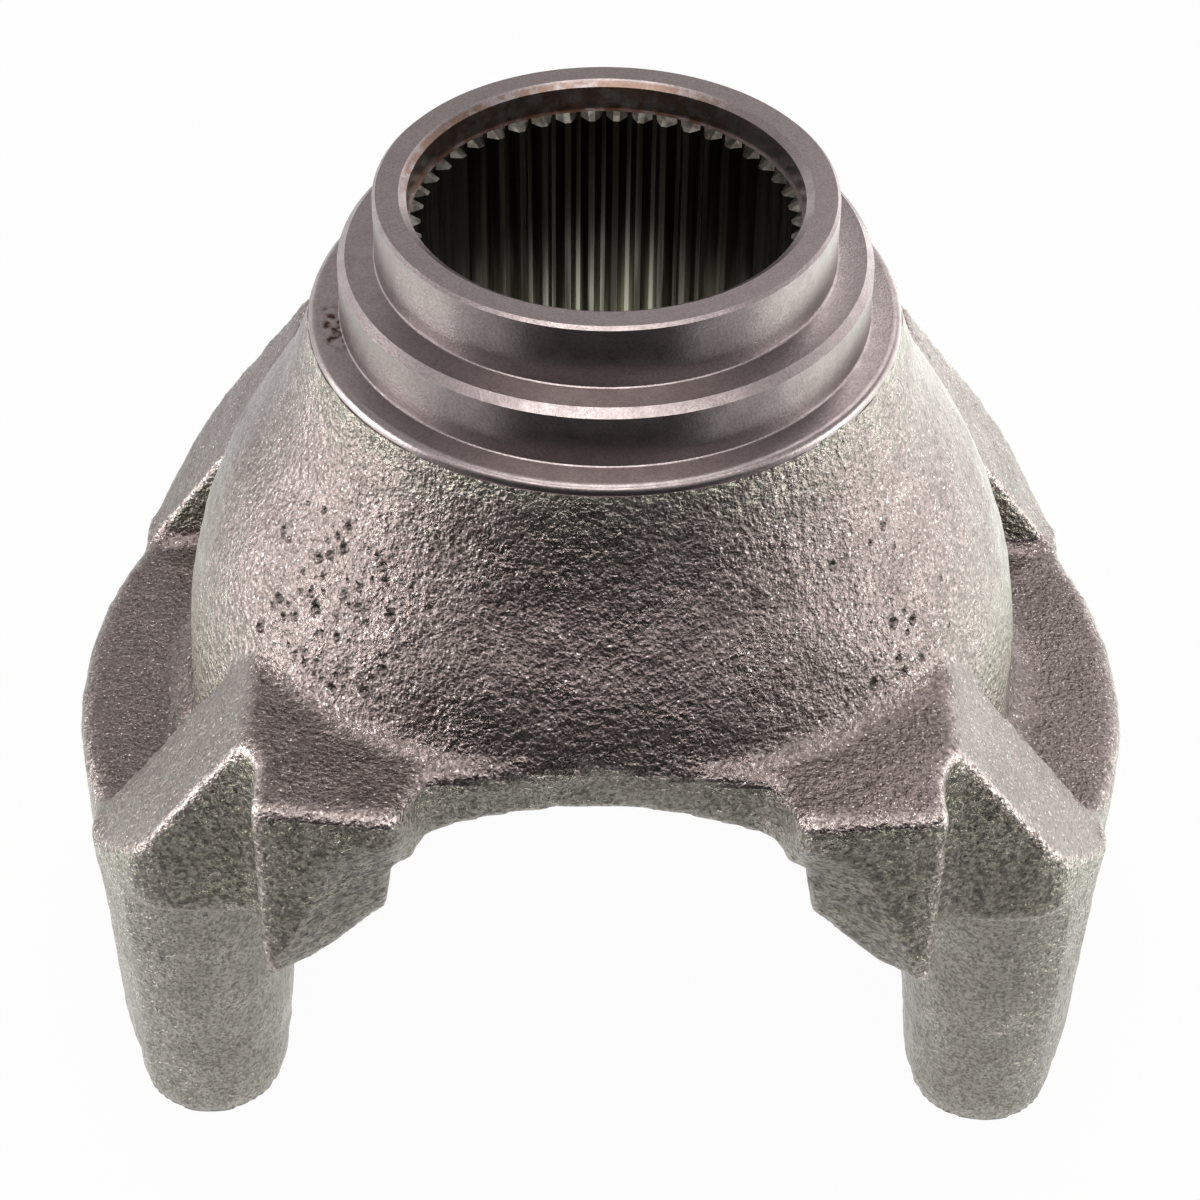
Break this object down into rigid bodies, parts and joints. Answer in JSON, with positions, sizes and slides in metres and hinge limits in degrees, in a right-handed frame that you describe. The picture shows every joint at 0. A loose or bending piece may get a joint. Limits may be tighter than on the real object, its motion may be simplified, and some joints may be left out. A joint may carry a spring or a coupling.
{
  "type": "forged end yoke",
  "caption": "Forged end yoke: splined hub with a turned seal journal on a bell, two ears with half-round bearing saddles and tapped strap screw bosses.",
  "frame": {"origin": "centre of the plane of the ear ends, where the spline axis meets the bearing axis", "axes": "+Z along the spline axis from the ears to the hub face, +X along the bearing axis from ear to ear, +Y across the throat"},
  "size_m": [0.1788, 0.147, 0.1585],
  "materials": {
    "forged_steel": "as-forged steel, shot-blasted, with turned collar and broached spline"
  },
  "bodies": {
    "root": {"yoke": "forged_steel"}
  },
  "joints": []
}
